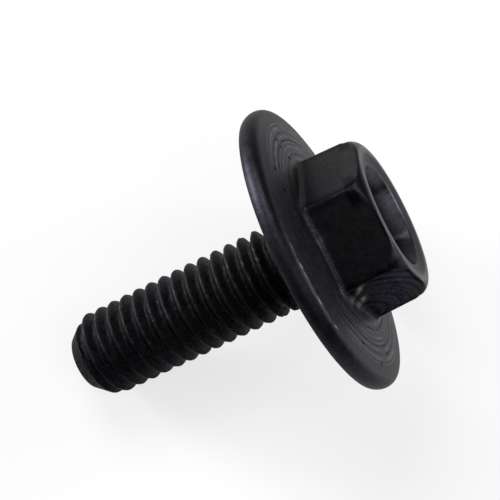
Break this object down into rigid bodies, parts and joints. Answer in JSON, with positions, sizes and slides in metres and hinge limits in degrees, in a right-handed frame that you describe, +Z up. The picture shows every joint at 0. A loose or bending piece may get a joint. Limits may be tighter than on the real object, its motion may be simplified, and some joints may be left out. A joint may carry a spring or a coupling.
{
  "type": "hex flange screw",
  "caption": "Black steel hex flange screw: drafted hex head with a hexagonal recess, wide round flange and a fully threaded M6 shank; clamps panels and brackets.",
  "frame": {"origin": "centre of the bearing face under the flange, on the screw's axis, where the thread's neck starts", "axes": "the screw lies as it rests on a level surface; +Z up, +X along its length towards the head, whose end is raised because the flange is wider than the tip"},
  "size_m": [0.0241, 0.0194, 0.018],
  "materials": {
    "black_steel": "black oxide on forged steel, satin"
  },
  "bodies": {
    "root": {"flange_screw": "black_steel"}
  },
  "joints": []
}
